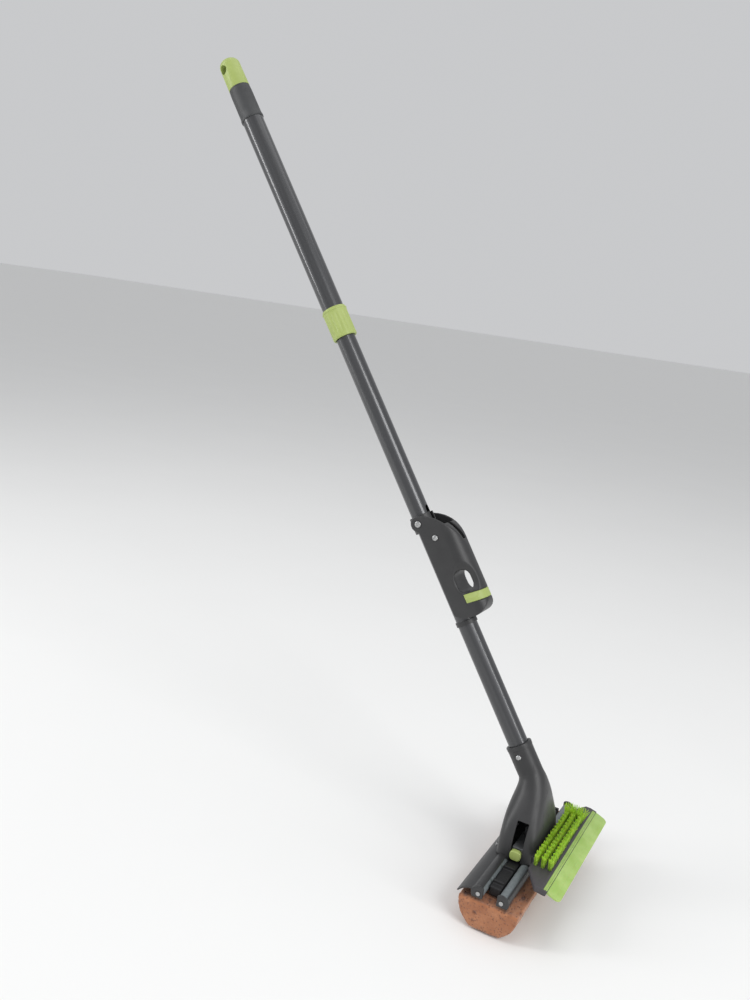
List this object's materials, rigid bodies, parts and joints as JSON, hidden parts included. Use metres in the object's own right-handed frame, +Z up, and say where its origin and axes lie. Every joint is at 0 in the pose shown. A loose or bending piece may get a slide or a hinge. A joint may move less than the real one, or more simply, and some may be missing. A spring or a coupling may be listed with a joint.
{
  "type": "roller mop",
  "caption": "Telescopic roller mop: lever-wrung sponge between rollers, with a scrubbing brush and a squeegee blade on the head.",
  "frame": {"origin": "middle of the sponge's flat sole, on the floor", "axes": "+Z up; X along the sponge and rollers; -Y to the front, where the brush, squeegee and lever are; the pole leans back to +Y"},
  "size_m": [0.27, 0.6653, 0.9639],
  "materials": {
    "lime_plastic": "moulded lime green plastic, satin",
    "dark_plastic": "moulded charcoal plastic, fine satin texture",
    "dark_tube": "steel tube with dark metallic lacquer, glossy",
    "steel": "zinc plated steel",
    "grey_plastic": "moulded grey plastic",
    "sponge": "open-pored brown-orange sponge",
    "bristle": "vivid lime nylon bristles",
    "blade": "soft lime rubber lip"
  },
  "bodies": {
    "upper_pole": {"hang_cap": "lime_plastic", "grip_sleeve": "dark_plastic", "upper_tube": "dark_tube", "collet": "grey_plastic"},
    "twist_collar": {"lock_collar": "lime_plastic"},
    "lower_pole": {"lower_tube": "dark_tube", "tube_top_plug": "grey_plastic", "pivot_sleeve": "dark_plastic", "fulcrum_pins": "steel", "lever_clip": "dark_plastic", "rod_guide": "grey_plastic", "head_housing": "dark_plastic", "neck_screw": "steel", "front_rail": "dark_plastic", "rear_rail": "dark_plastic", "rail_screws": "steel", "front_axle": "steel", "rear_axle": "steel", "accessory_holder": "dark_plastic", "brush_bristles": "bristle", "squeegee_blade": "blade", "holder_screws": "steel"},
    "lever": {"lever_body": "dark_plastic", "lever_insert": "lime_plastic", "drive_pin": "steel"},
    "rod": {"rod_head": "grey_plastic", "pull_rod": "steel", "rod_clevis": "grey_plastic", "clevis_pin": "steel"},
    "link": {"drive_link": "steel"},
    "sponge_carrier": {"carrier": "grey_plastic", "carrier_pin": "steel", "sponge_backing": "dark_plastic", "sponge": "sponge"},
    "left_release": {"left_button": "lime_plastic"},
    "right_release": {"right_button": "lime_plastic"},
    "front_wringer": {"front_roller": "grey_plastic"},
    "rear_wringer": {"rear_roller": "grey_plastic"}
  },
  "joints": [
    {"name": "telescope", "type": "slide", "parent": "upper_pole", "child": "lower_pole", "axis": [0, 0.5736, 0.8192], "range_m": [0, 0.18]},
    {"name": "collar_twist", "type": "hinge", "parent": "upper_pole", "child": "twist_collar", "pos_m": [0, 0.36479, 0.64498], "axis": [0, 0.5736, 0.8192], "range_deg": [0, 90]},
    {"name": "lever_pull", "type": "hinge", "parent": "lower_pole", "child": "lever", "pos_m": [0, 0.20477, 0.41644], "axis": [-1, 0, 0], "range_deg": [0, 84]},
    {"name": "rod_lift", "type": "slide", "parent": "lower_pole", "child": "rod", "axis": [0, 0.5736, 0.8192], "range_m": [0, 0.03585]},
    {"name": "link_swing", "type": "hinge", "parent": "rod", "child": "link", "pos_m": [0, -0.00574, 0.11581], "axis": [-1, 0, 0], "range_deg": [0, 26.6]},
    {"name": "sponge_lift", "type": "slide", "parent": "lower_pole", "child": "sponge_carrier", "axis": [0, 0, 1], "range_m": [0, 0.03152], "deforming": ["sponge"]},
    {"name": "front_roller_turn", "type": "hinge", "parent": "lower_pole", "child": "front_wringer", "pos_m": [0, -0.014, 0.045], "axis": [1, 0, 0], "range_deg": [0, 301.8]},
    {"name": "rear_roller_turn", "type": "hinge", "parent": "lower_pole", "child": "rear_wringer", "pos_m": [0, 0.014, 0.045], "axis": [-1, 0, 0], "range_deg": [0, 301.8]},
    {"name": "left_button_press", "type": "slide", "parent": "sponge_carrier", "child": "left_release", "axis": [1, 0, 0], "range_m": [0, 0.003], "stiffness_N_per_m": 400},
    {"name": "right_button_press", "type": "slide", "parent": "sponge_carrier", "child": "right_release", "axis": [-1, 0, 0], "range_m": [0, 0.003], "stiffness_N_per_m": 400}
  ],
  "couplings": [
    {"joint": "rod_lift", "follows": "lever_pull", "m_per_rad": 0.024442},
    {"joint": "link_swing", "follows": "lever_pull", "ratio": 0.31605},
    {"joint": "sponge_lift", "follows": "lever_pull", "m_per_rad": 0.021483},
    {"joint": "front_roller_turn", "follows": "lever_pull", "ratio": 3.5805},
    {"joint": "rear_roller_turn", "follows": "lever_pull", "ratio": 3.5805}
  ]
}
